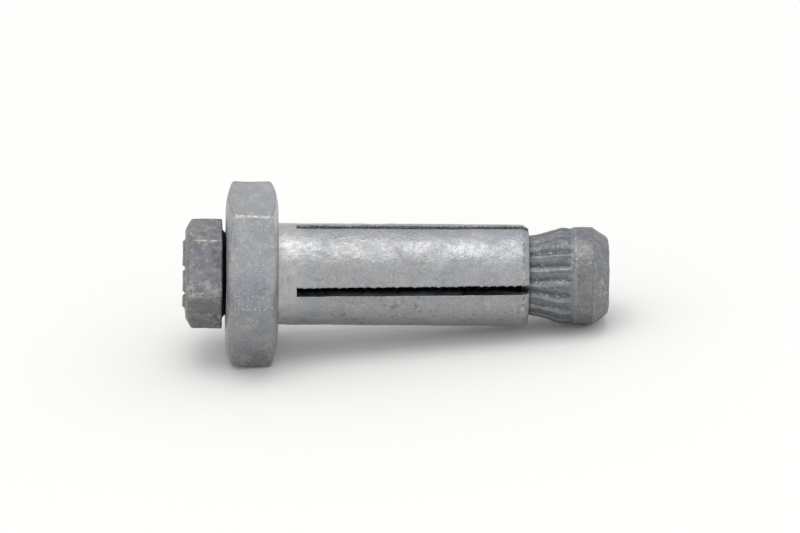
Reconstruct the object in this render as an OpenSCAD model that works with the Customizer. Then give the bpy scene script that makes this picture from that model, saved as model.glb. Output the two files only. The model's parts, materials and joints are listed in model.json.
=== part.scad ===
// Expansion blind bolt. A hex bolt runs through a slotted sleeve with a hex collar and pulls
// a ribbed cone into the sleeve's mouth, which spreads the legs behind a hollow wall.
// It lies at rest on one flat of its collar and on the smooth band of its cone.
// The origin is on the bolt's axis, in the plane of the collar's bearing face.
// +X follows the bolt towards the cone, and dips with the bolt's axis by the rest tilt.

/* [Bolt] */
// Diameter over the bolt's thread
bolt_d = 8; // [6:0.1:12]
// Length of the bolt under its head
bolt_len = 50; // [46:0.5:60]
// Chamfer at the bolt's tip, down to the root of the thread
tip_chamfer = 0.7; // [0.2:0.1:1.2]
// Width of the head across its flats
head_af = 13; // [11:0.5:18]
// Height of the head, with its washer face
head_h = 5.4; // [3.5:0.1:8]
// Inset of the crown's flat circle from the flats of the head
crown_inset = 0.55; // [0.2:0.05:2]
// Slope of the crown's chamfer, from the end face
crown_slope = 30; // [15:1:45]
// Inset of the washer face from the flats of the head
washer_inset = 0.5; // [0.1:0.1:1.2]
// Height of the washer face under the head
washer_h = 0.45; // [0.2:0.05:1]
// Turn of the head about the axis, from the collar's flats
head_turn = 1.5; // [-30:0.5:30]

/* [Collar] */
// Width of the collar across its flats
collar_af = 22; // [18:0.5:30]
// Thickness of the collar
collar_h = 7; // [4:0.5:12]
// Inset of the end faces' circles from the collar's flats
collar_inset = 0.9; // [0.1:0.1:1.5]
// Slope of the collar's corner chamfers, from the end faces
collar_slope = 19; // [10:1:40]

/* [Sleeve] */
// Length of the sleeve beyond the collar
sleeve_len = 33.8; // [28:0.1:38]
// Thickness of the sleeve's legs
leg_wall = 2.35; // [1.9:0.05:4]
// Number of legs, with a slot between each two
leg_count = 4; // [2:1:6]
// Width of the slots between the legs
slot_w = 1.25; // [0.6:0.05:2.5]
// Distance from the collar to the closed ends of the slots
slot_start = 2.5; // [1:0.5:10]
// Turn of the slots about the axis, from the collar's corners
slot_turn = -0.9; // [-15:0.1:15]
// Depth of the chamfer round the sleeve's open end
mouth_chamfer = 0.45; // [0.1:0.05:0.9]
// Length of that chamfer along the sleeve
mouth_chamfer_len = 0.8; // [0.2:0.1:2]
// Wall that is left at the mouth, where the cone enters
mouth_wall = 1.4; // [1:0.05:1.8]

/* [Cone] */
// Depth of the cone's nose inside the sleeve
nose_depth = 1.05; // [0.5:0.05:3]
// Slope of the cone's taper and of the sleeve's mouth
cone_slope = 12.5; // [9:0.5:20]
// Inset of the cone's smooth band from the outside of the sleeve
band_inset = 0.26; // [0.1:0.02:0.6]
// Length of the smooth band
band_len = 2.4; // [1:0.1:5]
// Step from the tops of the ribs up to the band
rib_step = 0.15; // [0.05:0.05:0.3]
// Length of the ribs' flat tops between the taper and the shoulder
rib_land = 0.9; // [0.4:0.1:2]
// Length of the shoulder between the ribs and the band
shoulder_len = 0.4; // [0.1:0.1:1]
// Number of ribs round the taper
rib_count = 18; // [8:1:20]
// Radius of the round flutes between the ribs
flute_r = 0.9; // [0.5:0.05:0.95]
// Depth of the flutes below the tops of the ribs
flute_depth = 0.38; // [0.1:0.02:0.42]
// Turn of the flutes about the axis, from the slots
flute_turn = 6.4; // [-9:0.1:9]
// Length of the chamfered tail behind the band
tail_len = 2.2; // [1:0.1:3]
// Slope of the tail's chamfer, from the axis
tail_slope = 34; // [15:1:38]
// Chamfer at the open end of the cone's tapped hole
hole_chamfer = 0.4; // [0.1:0.1:0.8]

/* [Clearances] */
// Gap under the bolt's head when it is turned down by hand
head_gap = 0.05; // [0.02:0.01:0.2]
// Gap between the bolt and the bore of the sleeve
bore_gap = 0.5; // [0.2:0.05:1]
// Gap between the bolt and the cone's tapped hole
thread_gap = 0.05; // [0.02:0.01:0.1]
// Gap between the cone and the sleeve's mouth
seat_gap = 0.1; // [0.05:0.05:0.3]

/* [Hidden] */
$fn = 96;
hex_sides = 6;
half_side_angle = 180 / hex_sides;
// Overshoot of a cutter past the faces that it opens
past = 1;

// Places of the bolt's faces along the axis
seat_x = -collar_h - head_gap;
under_x = seat_x - washer_h;
crown_x = seat_x - head_h;
middle_x = (crown_x + under_x) / 2;
tip_x = seat_x + bolt_len;
bolt_r = bolt_d / 2;
washer_r = head_af / 2 - washer_inset;

// Radii of the sleeve
bore_r = bolt_r + bore_gap;
sleeve_r = bore_r + leg_wall;
mouth_r = sleeve_r - mouth_wall;
mouth_depth = (mouth_r - bore_r) / tan(cone_slope);
// Turn about the axis to the middle of a leg, where the round faces start and end
leg_middle = slot_turn + 180 / leg_count;

// Radii of the cone and the places where its outline turns
hole_r = bolt_r + thread_gap;
nose_x = sleeve_len - nose_depth;
nose_r = mouth_r - seat_gap - nose_depth * tan(cone_slope);
band_r = sleeve_r - band_inset;
rib_r = band_r - rib_step;
taper_end_x = nose_x + (rib_r - nose_r) / tan(cone_slope);
shoulder_x = taper_end_x + rib_land;
band_x = shoulder_x + shoulder_len;
tail_x = band_x + band_len;
tail_end_x = tail_x + tail_len;
tail_r = band_r - tail_len * tan(tail_slope);
flute_len = (shoulder_x - nose_x) / cos(cone_slope) - flute_r;

// The part tips until the collar's lower flat and the end of the cone's band both touch
flat_end = collar_inset * tan(collar_slope);
rest_tilt = atan((collar_af / 2 - band_r) / (tail_x + flat_end));

// Lays a piece that is drawn along +X down at the rest tilt
module laid() {
    rotate([0, rest_tilt, 0]) children();
}

// Solid of revolution about the X axis, from [radius, place along X] points
module revolved(outline) {
    rotate([0, 90, 0]) rotate_extrude() polygon(outline);
}

// Hexagonal bar from x = 0 to x = h, with one flat facing down
module hex_bar(af, h) {
    rotate([0, 90, 0])
        rotate([0, 0, half_side_angle])
            cylinder(d = af / cos(half_side_angle), h = h, $fn = hex_sides);
}

// Head chamfered at its crown, the washer face below it and the plain shank
module hex_bolt() {
    face_r = head_af / 2 - crown_inset;
    corner_r = head_af / 2 / cos(half_side_angle) + past;
    corner_drop = (corner_r - face_r) * tan(crown_slope);
    color("dimgray") laid() union() {
        intersection() {
            translate([crown_x, 0, 0])
                rotate([head_turn, 0, 0])
                    hex_bar(head_af, head_h - washer_h);
            revolved([
                [0, crown_x],
                [face_r, crown_x],
                [corner_r, crown_x + corner_drop],
                [corner_r, seat_x],
                [0, seat_x],
            ]);
        }
        revolved([
            [0, middle_x],
            [washer_r, middle_x],
            [washer_r, under_x],
            [washer_r - washer_h, seat_x],
            [bolt_r, seat_x],
            [bolt_r, tip_x - tip_chamfer],
            [bolt_r - tip_chamfer, tip_x],
            [0, tip_x],
        ]);
    }
}

// Hex collar chamfered on both end faces
module collar() {
    face_r = collar_af / 2 - collar_inset;
    corner_r = collar_af / 2 / cos(half_side_angle) + past;
    corner_drop = (corner_r - face_r) * tan(collar_slope);
    intersection() {
        translate([-collar_h, 0, 0]) hex_bar(collar_af, collar_h);
        revolved([
            [0, -collar_h],
            [face_r, -collar_h],
            [corner_r, corner_drop - collar_h],
            [corner_r, -corner_drop],
            [face_r, 0],
            [0, 0],
        ]);
    }
}

// Collar and sleeve in one piece, bored through, opened at the mouth and slotted into legs
module slotted_sleeve() {
    color("silver") laid() difference() {
        union() {
            collar();
            rotate([leg_middle, 0, 0]) revolved([
                [0, -collar_h / 2],
                [sleeve_r, -collar_h / 2],
                [sleeve_r, sleeve_len - mouth_chamfer_len],
                [sleeve_r - mouth_chamfer, sleeve_len],
                [0, sleeve_len],
            ]);
        }
        rotate([leg_middle, 0, 0]) revolved([
            [0, -collar_h - past],
            [bore_r, -collar_h - past],
            [bore_r, sleeve_len - mouth_depth],
            [mouth_r, sleeve_len],
            [mouth_r, sleeve_len + past],
            [0, sleeve_len + past],
        ]);
        for (slot = [0 : leg_count - 1])
            rotate([slot_turn + slot * 360 / leg_count, 0, 0])
                translate([slot_start, -sleeve_r - past, -slot_w / 2])
                    cube([sleeve_len - slot_start + past, sleeve_r + past, slot_w]);
    }
}

// Round-ended cutter that follows the taper on its upper side and stops at the shoulder
module flute() {
    translate([nose_x, 0, nose_r])
        rotate([0, -cone_slope, 0])
            translate([-past, 0, flute_r - flute_depth])
                rotate([0, 90, 0]) {
                    cylinder(r = flute_r, h = flute_len + past);
                    translate([0, 0, flute_len + past]) sphere(r = flute_r);
                }
}

// Tapered nut with flutes along its taper, a smooth band and a chamfered tail
module ribbed_cone() {
    color("gray") laid() difference() {
        revolved([
            [hole_r, nose_x],
            [nose_r, nose_x],
            [rib_r, taper_end_x],
            [rib_r, shoulder_x],
            [band_r, band_x],
            [band_r, tail_x],
            [tail_r, tail_end_x],
            [hole_r + hole_chamfer, tail_end_x],
            [hole_r, tail_end_x - hole_chamfer],
        ]);
        for (rib = [0 : rib_count - 1])
            rotate([slot_turn + flute_turn + rib * 360 / rib_count, 0, 0]) flute();
    }
}

hex_bolt();
slotted_sleeve();
ribbed_cone();
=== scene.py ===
"""Dresses an expansion blind bolt in hot-dip zinc: its hex bolt, slotted sleeve and ribbed cone.

Each piece is a surface on a grid round the bolt's axis. A point is worked out as a place along the
axis, a radius and an angle about the axis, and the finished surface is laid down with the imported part.
"""

import json
import math

import bmesh
import bpy
import numpy as np
from bpy.props import FloatProperty, FloatVectorProperty, IntProperty, PointerProperty
from bpy.types import NodeSocket, Operator, Panel, PropertyGroup
from mathutils import Matrix, Vector


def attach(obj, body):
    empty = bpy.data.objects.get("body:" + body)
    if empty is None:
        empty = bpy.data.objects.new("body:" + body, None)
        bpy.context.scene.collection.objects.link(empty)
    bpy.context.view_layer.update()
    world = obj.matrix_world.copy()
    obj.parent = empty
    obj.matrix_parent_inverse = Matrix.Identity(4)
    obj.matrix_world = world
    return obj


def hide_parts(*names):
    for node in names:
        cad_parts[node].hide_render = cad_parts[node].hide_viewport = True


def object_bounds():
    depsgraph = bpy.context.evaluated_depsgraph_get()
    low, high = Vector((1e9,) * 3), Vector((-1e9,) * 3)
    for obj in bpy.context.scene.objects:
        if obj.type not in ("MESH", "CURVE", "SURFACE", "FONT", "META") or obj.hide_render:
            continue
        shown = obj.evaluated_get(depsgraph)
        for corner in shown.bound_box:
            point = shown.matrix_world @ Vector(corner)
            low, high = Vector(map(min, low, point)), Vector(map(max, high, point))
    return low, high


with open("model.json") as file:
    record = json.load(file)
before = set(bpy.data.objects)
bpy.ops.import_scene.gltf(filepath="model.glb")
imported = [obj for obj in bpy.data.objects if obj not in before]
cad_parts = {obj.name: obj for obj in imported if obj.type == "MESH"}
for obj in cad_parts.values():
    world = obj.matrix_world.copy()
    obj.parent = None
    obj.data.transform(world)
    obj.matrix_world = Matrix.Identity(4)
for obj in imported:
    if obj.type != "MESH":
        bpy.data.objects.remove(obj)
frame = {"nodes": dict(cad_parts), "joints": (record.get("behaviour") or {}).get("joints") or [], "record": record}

bl_info = {
    "name": "Blind Bolt",
    "version": (1, 0, 0),
    "blender": (4, 5, 0),
    "location": "3D View > Sidebar > Blind Bolt",
    "description": "Builds a galvanised expansion blind bolt and the pale stage that it lies on",
    "category": "Add Mesh",
}

CAD_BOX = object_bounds()
MM = 0.001
# Points closer than this are one point
WELD = 1e-7
# Keeps a division by a radius or a length away from zero
TINY = 1e-12
HEX_SIDES = 6
HALF_SIDE = math.pi / HEX_SIDES
# Angle within which a corner of a hexagonal bar is worn
CORNER_REACH = math.radians(3)
# Distance within which a point counts as lying on a chamfer
FACE_REACH = 0.06 * MM
# Wear of an edge away from the corners of a hexagonal bar, against 1 at a corner
EDGE_WEAR = 0.25
# Cosine waves in a random height, and the shortest and longest of their beats against one wave
RIPPLE_WAVES = 48
RIPPLE_BEATS = (0.6, 1.5)
# Step between the seeds of two waves in the zinc
SEED_STEP = 7


def joint_axis(name):
    """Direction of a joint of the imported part, as a unit vector."""
    axis = next(np.array(joint["axis"]) for joint in frame["joints"] if joint["name"] == name)
    return axis / np.linalg.norm(axis)


def mount_size(name, key):
    """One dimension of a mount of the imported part, in metres."""
    mount = next(mount for mount in frame["record"]["mounts"] if mount["name"] == name)
    return mount["dims"][key] * MM


# A point (along, level, rise) in the bolt's own frame is laid down by a product with these rows
AXIS = joint_axis("bolt_turn")
LEVEL = np.array((0.0, 1.0, 0.0))
RISE = np.cross(AXIS, LEVEL)
LAID = np.stack([AXIS, LEVEL, RISE])


def mesh_points(mesh):
    """A mesh's points as an array of rows."""
    points = np.empty(len(mesh.vertices) * 3, np.float32)
    mesh.vertices.foreach_get("co", points)
    return points.reshape(-1, 3).astype(float)


def node_reach(name):
    """Lowest and highest place of a CAD node along the bolt's axis."""
    along = mesh_points(frame["nodes"][name].data) @ AXIS
    return float(along.min()), float(along.max())


CROWN, TIP = node_reach("hex_bolt")
COLLAR_BACK, MOUTH = node_reach("slotted_sleeve")
NOSE, TAIL = node_reach("ribbed_cone")
SLEEVE_RADIUS = mount_size("sleeve_outside", "r_mm")


def length(name, description, default):
    """A size of the part in metres, shown in the scene's length unit."""
    return FloatProperty(name=name, description=description, default=default, unit="LENGTH", precision=5)


def turn(name, description, default):
    """An angle of the part, written in degrees and kept in radians."""
    return FloatProperty(
        name=name, description=description, default=math.radians(default), unit="ROTATION"
    )


def how_many(name, description, default, fewest):
    """A number of like features."""
    return IntProperty(name=name, description=description, default=default, min=fewest)


def amount(name, description, default):
    """A plain number that is not below zero."""
    return FloatProperty(name=name, description=description, default=default, min=0)


def colour(name, description, default):
    """A linear colour of a finish."""
    return FloatVectorProperty(
        name=name, description=description, default=default, subtype="COLOR", min=0, max=1
    )


class BoltSizes(PropertyGroup):
    """Sizes and colours of the hex bolt."""

    head_flats: length("Head flats", "Width of the head across its flats", 13 * MM)
    head_height: length("Head height", "Height of the head, with its washer face", 5.4 * MM)
    head_turn: turn("Head turn", "Turn of the head from the collar's flats", 1.5)
    head_round: length("Head rounding", "Radius of the zinc over the head's edges", 0.2 * MM)
    crown_inset: length("Crown inset", "Inset of the crown's circle from the flats", 0.55 * MM)
    crown_slope: turn("Crown slope", "Slope of the crown's chamfer from its end face", 30)
    washer_inset: length("Washer inset", "Inset of the washer face from the flats", 0.5 * MM)
    washer_height: length("Washer height", "Height of the washer face under the head", 0.45 * MM)
    mark_height: length("Mark height", "Height of the plain bars raised on the crown", 0.34 * MM)
    mark_turn: turn("Mark turn", "Turn of the bars about the axis", 22.1)
    thread_radius: length("Thread radius", "Radius over the crests of the thread", 3.95 * MM)
    thread_depth: length("Thread depth", "Depth of the thread under its crests", 0.68 * MM)
    thread_pitch: length("Thread pitch", "Rise of the thread in one turn", 1.25 * MM)
    neck_length: length("Neck length", "Plain length between the head and the thread", 1.2 * MM)
    tip_chamfer: length("Tip chamfer", "Length of the chamfer at the bolt's tip", 0.75 * MM)
    pale: colour("Pale zinc", "Paler patches of the bolt's zinc", (0.32, 0.32, 0.335))
    dark: colour("Dark zinc", "Darker patches of the bolt's zinc", (0.19, 0.188, 0.192))
    warm: colour("Warm zinc", "Olive patches of the bolt's zinc", (0.25, 0.243, 0.215))
    cool: colour("Cool zinc", "Bluish patches of the bolt's zinc", (0.225, 0.227, 0.25))


class SleeveSizes(PropertyGroup):
    """Sizes and colours of the sleeve and its collar."""

    collar_flats: length("Collar flats", "Width of the collar across its flats", 22 * MM)
    collar_inset: length("Collar inset", "Inset of the end faces' circles from the flats", 0.9 * MM)
    collar_slope: turn("Collar slope", "Slope of the corner chamfers from the end faces", 19)
    collar_round: length("Collar rounding", "Radius of the zinc over the collar's edges", 0.36 * MM)
    bore_radius: length("Bore radius", "Radius of the bore round the bolt", 4.5 * MM)
    mouth_radius: length("Mouth radius", "Radius of the bore at the open end", 5.45 * MM)
    mouth_slope: turn("Mouth slope", "Slope of the opened bore from the axis", 12.5)
    mouth_chamfer: length("Mouth chamfer", "Depth of the chamfer round the open end", 0.45 * MM)
    chamfer_length: length("Chamfer length", "Length of that chamfer along the sleeve", 0.8 * MM)
    slot_count: how_many("Slots", "Number of slots between the legs", 4, 2)
    slot_width: length("Slot width", "Width of a slot", 1.25 * MM)
    slot_start: length("Slot start", "Distance from the collar to a slot's closed end", 2.5 * MM)
    slot_turn: turn("Slot turn", "Turn of the slots from the collar's corners", -0.9)
    saw_lean: turn("Saw lean", "Lean of the saw cuts from the axis", 1.0)
    saw_side: turn("Saw side", "Angle about the axis of the side that the saw cuts lean to", 67)
    burr: length("Burr", "Height of the burrs that hang into the slots", 0.16 * MM)
    swell: length("Swell", "Height of the long waves in the zinc", 0.014 * MM)
    edge_round: length("Edge rounding", "Radius of the zinc over the legs' edges", 0.11 * MM)
    pale: colour("Pale zinc", "Paler patches of the sleeve's zinc", (0.42, 0.425, 0.437))
    dark: colour("Dark zinc", "Darker patches of the sleeve's zinc", (0.325, 0.33, 0.343))
    warm: colour("Warm zinc", "Olive patches of the sleeve's zinc", (0.37, 0.37, 0.361))
    cool: colour("Cool zinc", "Bluish patches of the sleeve's zinc", (0.35, 0.367, 0.397))


class ConeSizes(PropertyGroup):
    """Sizes and colours of the ribbed cone."""

    nose_radius: length("Nose radius", "Radius of the cone's nose", 5.12 * MM)
    rib_radius: length("Rib radius", "Radius over the ribs at the end of the taper", 6.44 * MM)
    band_radius: length("Band radius", "Radius of the smooth band", 6.59 * MM)
    taper_slope: turn("Taper slope", "Slope of the taper from the axis", 12.5)
    rib_land: length("Rib land", "Length of the ribs' level tops behind the taper", 0.9 * MM)
    shoulder_length: length("Shoulder length", "Length of the shoulder before the band", 0.4 * MM)
    band_length: length("Band length", "Length of the smooth band", 2.4 * MM)
    tail_slope: turn("Tail slope", "Slope of the tail's chamfer from the axis", 34)
    flute_count: how_many("Flutes", "Number of flutes round the taper", 18, 4)
    flute_depth: length("Flute depth", "Depth of a flute below the ribs", 0.38 * MM)
    flute_turn: turn("Flute turn", "Turn of the flutes from the slots", 6.4)
    hollow: length("Hollow", "Depth of the hollow along the taper", 0.11 * MM)
    tail_round: length("Tail rounding", "Radius of the zinc round the tail's end", 0.22 * MM)
    hole_chamfer: length("Hole chamfer", "Chamfer of the tapped hole", 0.4 * MM)
    thread_gap: length("Thread gap", "Gap between the two threads", 0.06 * MM)
    pale: colour("Pale zinc", "Paler patches of the cone's zinc", (0.25, 0.252, 0.257))
    dark: colour("Dark zinc", "Darker patches of the cone's zinc", (0.185, 0.187, 0.19))
    warm: colour("Warm zinc", "Brownish patches of the cone's zinc", (0.232, 0.229, 0.222))
    cool: colour("Cool zinc", "Bluish patches of the cone's zinc", (0.2, 0.21, 0.225))


class StageSizes(PropertyGroup):
    """Floor, light and camera."""

    floor_width: length("Floor width", "Width of the floor", 6.0)
    floor_tone: colour("Floor", "Colour of the floor", (0.845, 0.832, 0.812))
    sky_tone: colour("Room light", "Colour of the light from all round", (0.96, 0.98, 1.0))
    sky_level: amount("Room level", "Level of the light from all round", 0.98)
    lamp_height: length("Lamp height", "Height of the soft lamp over the floor", 0.9)
    lamp_along: length("Lamp along", "Place of the soft lamp along the part", 16 * MM)
    lamp_forward: length("Lamp forward", "Distance of the soft lamp in front of the part", 0.1)
    lamp_width: length("Lamp width", "Width of the soft lamp", 0.6)
    lamp_tone: colour("Lamp colour", "Colour of the soft lamp", (1.0, 0.975, 0.94))
    lamp_power: amount("Lamp power", "Power of the soft lamp in watts", 2.4)
    view_rise: turn("View rise", "Height of the camera over the level across the axis", 22.1)
    view_swing: turn("View swing", "Swing of the camera towards the head", 1.8)
    view_roll: turn("View roll", "Fall of the axis to the right in the picture", 0.34)
    view_distance: length("View distance", "Distance of the camera from the collar", 1.35)
    view_right: length("View right", "Aim to the right of the collar's bearing face", 16.54 * MM)
    view_up: length("View up", "Aim above the axis", 0.99 * MM)
    lens: amount("Lens", "Focal length in millimetres", 450)


# Surfaces on grids


def polar(along, radius, angle):
    """Points (along, radius cos angle, radius sin angle) of arrays that broadcast together."""
    along, radius, angle = np.broadcast_arrays(along, radius, angle)
    return np.stack([along, radius * np.cos(angle), radius * np.sin(angle)], -1)


def eased(value):
    """Smooth step from 0 to 1: 3 v squared less 2 v cubed, level outside that span."""
    value = np.clip(value, 0, 1)
    return value * value * (3 - 2 * value)


def graded(count):
    """Shares from 0 to 1 that crowd towards both ends: half of 1 less the cosine of a half turn."""
    return (1 - np.cos(np.linspace(0, math.pi, count))) / 2


def lofted(rings, angle):
    """Places and radii of rows through rings, each of (place, radius, rows on the way to it).

    A ring's place and radius may change with the angle. The rows of a span crowd towards its two rings."""
    along = []
    radius = []
    for (place, reach, _), (next_place, next_reach, rows) in zip(rings, rings[1:]):
        share = graded(rows)[:, None]
        along.append(place + (next_place - place) * share + 0 * angle)
        radius.append(reach + (next_reach - reach) * share + 0 * angle)
    return np.concatenate(along), np.concatenate(radius)


def grid_quads(index, wrapped=False):
    """Quads between neighbours of an index grid. They face along (column step) x (row step)."""
    if wrapped:
        index = np.concatenate([index, index[:, :1]], 1)
    corners = [index[:-1, :-1], index[:-1, 1:], index[1:, 1:], index[1:, :-1]]
    return np.stack(corners, -1)


def patch(points, wrapped=False, keep=None, turned=False):
    """A grid of points and its quads. Keep tells which cells stay, and turned faces them the other way."""
    rows, columns = points.shape[:2]
    quads = grid_quads(np.arange(rows * columns).reshape(rows, columns), wrapped)
    quads = quads.reshape(-1, 4) if keep is None else quads[keep]
    return points.reshape(-1, 3), quads[:, ::-1] if turned else quads


def helix_patch(points, step, turned=False):
    """A grid of helix lines: past its last column, a line goes on as the one a step of rows further."""
    rows, columns = points.shape[:2]
    index = np.arange(rows * columns).reshape(rows, columns)
    seam = np.concatenate([index[step:, 0], np.full(step, -1)])
    quads = grid_quads(np.concatenate([index, seam[:, None]], 1)).reshape(-1, 4)
    quads = quads[(quads >= 0).all(1)]
    return points.reshape(-1, 3), quads[:, ::-1] if turned else quads


def welded_mesh(name, patches):
    """One mesh of several patches, with the points merged where patches, seams and poles meet."""
    starts = np.cumsum([0] + [len(points) for points, _ in patches[:-1]])
    points = np.concatenate([points for points, _ in patches])
    quads = np.concatenate([quads + start for (_, quads), start in zip(patches, starts)])
    mesh = bpy.data.meshes.new(name)
    mesh.from_pydata(points.tolist(), [], quads.tolist())
    work = bmesh.new()
    work.from_mesh(mesh)
    bmesh.ops.remove_doubles(work, verts=work.verts, dist=WELD)
    work.to_mesh(mesh)
    work.free()
    return mesh


def set_points(mesh, points):
    """Lays points of the bolt's own frame down into a mesh."""
    mesh.vertices.foreach_set("co", (points @ LAID).astype(np.float32).ravel())
    mesh.polygons.foreach_set("use_smooth", np.ones(len(mesh.polygons), bool))
    mesh.update()


def set_shares(mesh, shares):
    """Keeps named values for each point, for the finish to read."""
    for name, values in shares.items():
        kept = mesh.attributes.new(name, "FLOAT", "POINT")
        kept.data.foreach_set("value", values.astype(np.float32))


def round_shares(angle, table):
    """Shares at angles about the axis: straight runs between the table's degrees."""
    return np.interp(np.degrees(np.mod(angle, 2 * math.pi)), *table)


def ripple(points, wave, seed):
    """Smooth random height with unit spread: a sum of cosine waves, each about one wave long, in
    random directions and phases."""
    chance = np.random.default_rng(seed)
    direction = chance.normal(size=(RIPPLE_WAVES, 3))
    direction /= np.linalg.norm(direction, axis=1, keepdims=True)
    beat = direction * (2 * math.pi / wave) * chance.uniform(*RIPPLE_BEATS, (RIPPLE_WAVES, 1))
    phase = chance.uniform(0, 2 * math.pi, RIPPLE_WAVES)
    return np.cos(points @ beat.T + phase).sum(1) * math.sqrt(2 / RIPPLE_WAVES)


def uneven(points, waves, seed):
    """Points moved by a random height along each of the three directions, as thick zinc sets: once for each
    pair of a wave's length and its height."""
    for order, (wave, height) in enumerate(waves):
        first = seed + order * SEED_STEP
        shift = [ripple(points, wave, first + side) for side in range(3)]
        points = points + height * np.stack(shift, -1)
    return points


def around_axis(points):
    """Angle of each point about the axis."""
    return np.arctan2(points[:, 2], points[:, 1])


def off_axis(points):
    """Distance of each point from the axis."""
    return np.hypot(points[:, 1], points[:, 2])


# Faces that bound a piece, as distances over a face and the direction in which it faces


def flat_face(angle, reach):
    """A flat along the axis that faces outwards at an angle: the part of a point in that direction, less
    the reach."""
    facing = np.array((0.0, math.cos(angle), math.sin(angle)))

    def measured(points):
        return points @ facing - reach, np.broadcast_to(facing, points.shape)

    return measured


def turned_face(along_part, radial_part, reach):
    """A disc, cone or cylinder about the axis: along_part x place + radial_part x radius - reach."""

    def measured(points):
        radius = off_axis(points)
        facing = points * (0, 1, 1) / np.maximum(radius, TINY)[:, None] * radial_part
        facing[:, 0] = along_part
        return along_part * points[:, 0] + radial_part * radius - reach, facing

    return measured


def hex_faces(flats, turned_by):
    """The six flats of a hexagonal bar."""
    sides = np.arange(HEX_SIDES) * 2 * HALF_SIDE + HALF_SIDE + turned_by
    return [flat_face(angle, flats / 2) for angle in sides]


def slot_face(sizes):
    """The walls and closed end of the nearest slot: the less of the depths past the wall and past the
    end."""

    def measured(points):
        _, middle = from_slot(sizes, around_axis(points))
        aside = points[:, 2] * np.cos(middle) - points[:, 1] * np.sin(middle)
        past_wall = sizes.slot_width / 2 - np.abs(aside)
        past_end = points[:, 0] - sizes.slot_start
        side = -np.sign(aside)
        wall = np.stack([np.zeros_like(side), -np.sin(middle) * side, np.cos(middle) * side], -1)
        at_wall = past_wall < past_end
        facing = np.where(at_wall[:, None], wall, np.array((1.0, 0.0, 0.0)))
        return np.where(at_wall, past_wall, past_end), facing

    return measured


def rounded(points, faces, radius, rounds=5):
    """Draws points on sharp faces in onto a skin with rounded edges, and tells how near an edge each is.

    The skin is where the length of the depths past a line one radius below each face is one radius.
    Each round moves a point along the skin's slope by what is left over."""
    edge = None
    for _ in range(rounds):
        measures = [face(points) for face in faces]
        past = np.stack([np.maximum(depth + radius, 0) for depth, _ in measures])
        size = np.maximum(np.linalg.norm(past, axis=0), TINY)
        pull = sum(over[:, None] * facing for over, (_, facing) in zip(past, measures))
        slope = pull / size[:, None]
        steep = np.maximum((slope * slope).sum(1), TINY)
        if edge is None:
            edge = np.clip((size / radius - 1) / (math.sqrt(2) - 1), 0, 1)
        points = points - slope * ((size - radius) / steep)[:, None]
    return points, edge


def hex_rim(flats, angle):
    """Radius of a hexagonal bar at an angle: half its flats over the cosine of the angle from the nearest
    flat."""
    return flats / 2 / np.cos(np.mod(angle, 2 * HALF_SIDE) - HALF_SIDE)


def across_flats(flats, angle):
    """Distance across a hexagonal bar's flat from its middle, which runs on without a step from flat to
    flat: half the flats times the tangent of the angle from the middle, mirrored on each second flat."""
    folded = np.abs(np.mod(angle, 4 * HALF_SIDE) - 2 * HALF_SIDE)
    return flats / 2 * np.tan(folded - HALF_SIDE)


def corner_share(points, turned_by=0.0):
    """1 along the corners of a hexagonal bar, falling with the square of the angle from them."""
    around = around_axis(points) - turned_by
    from_corner = np.mod(around + HALF_SIDE, 2 * HALF_SIDE) - HALF_SIDE
    return np.exp(-((from_corner / CORNER_REACH) ** 2))


def corner_wear(points, turned_by=0.0):
    """Wear of a hexagonal bar's edges: a set share of it all round, and the rest near the corners."""
    return EDGE_WEAR + (1 - EDGE_WEAR) * corner_share(points, turned_by)


def corner_columns(steps, turned_by=0.0):
    """Angles round a hexagonal bar: the same steps to both sides of each corner, in degrees."""
    steps = np.radians(steps)
    near = np.concatenate([-steps[1:], steps])
    corners = np.arange(HEX_SIDES) * 2 * HALF_SIDE + turned_by
    return np.mod((corners[:, None] + near).ravel(), 2 * math.pi)


# Hex bolt

# Degrees from a corner of the head to the columns on both sides of it
HEAD_STEPS = (0, 0.6, 1.3, 2.1, 3.1, 4.4, 6, 8, 10.5, 13.5, 16.8, 20.1, 23.4, 26.7, 30)
# Helix lines in one turn of thread, and turns drawn past each end before it is cut off there
THREAD_STEPS = 8
SPARE_TURNS = 2
# Lower and upper ends of the crown's bars, places of their two columns, half their width and the width
# of their soft edges
BAR_SPANS = np.array(((-4.75, -2.75), (-2.6, 0.55), (0.85, 4.55))) * MM
BAR_PLACES = np.array((-2.2, 2.2)) * MM
BAR_HALF = 0.5 * MM
BAR_SOFT = 0.26 * MM
# Angles in degrees about the axis, and how rubbed the head's zinc is there, beside one corner, and how far
# its lower face is painted darker and olive as painted shade
RUBBED_HEAD = ((160, 172, 184, 190), (0, 1, 0.7, 0))
SHADED_HEAD = ((182, 199, 235, 245), (0, 1, 1, 0))
# Lengths and heights of the waves in the head's zinc
BOLT_WAVES = ((2.2 * MM, 0.016 * MM), (0.7 * MM, 0.01 * MM))
BOLT_SEED = 11
# Slope of the thread's flanks, from the plane across the axis
FLANK_SLOPE = math.radians(30)


def thread_height(phase):
    """Height of a sharp thread over its middle line, as a share of its pitch: a triangle wave."""
    sharp = 1 / math.tan(FLANK_SLOPE) / 2
    return (np.abs(2 * np.mod(phase, 1) - 1) - 0.5) * sharp


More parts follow.
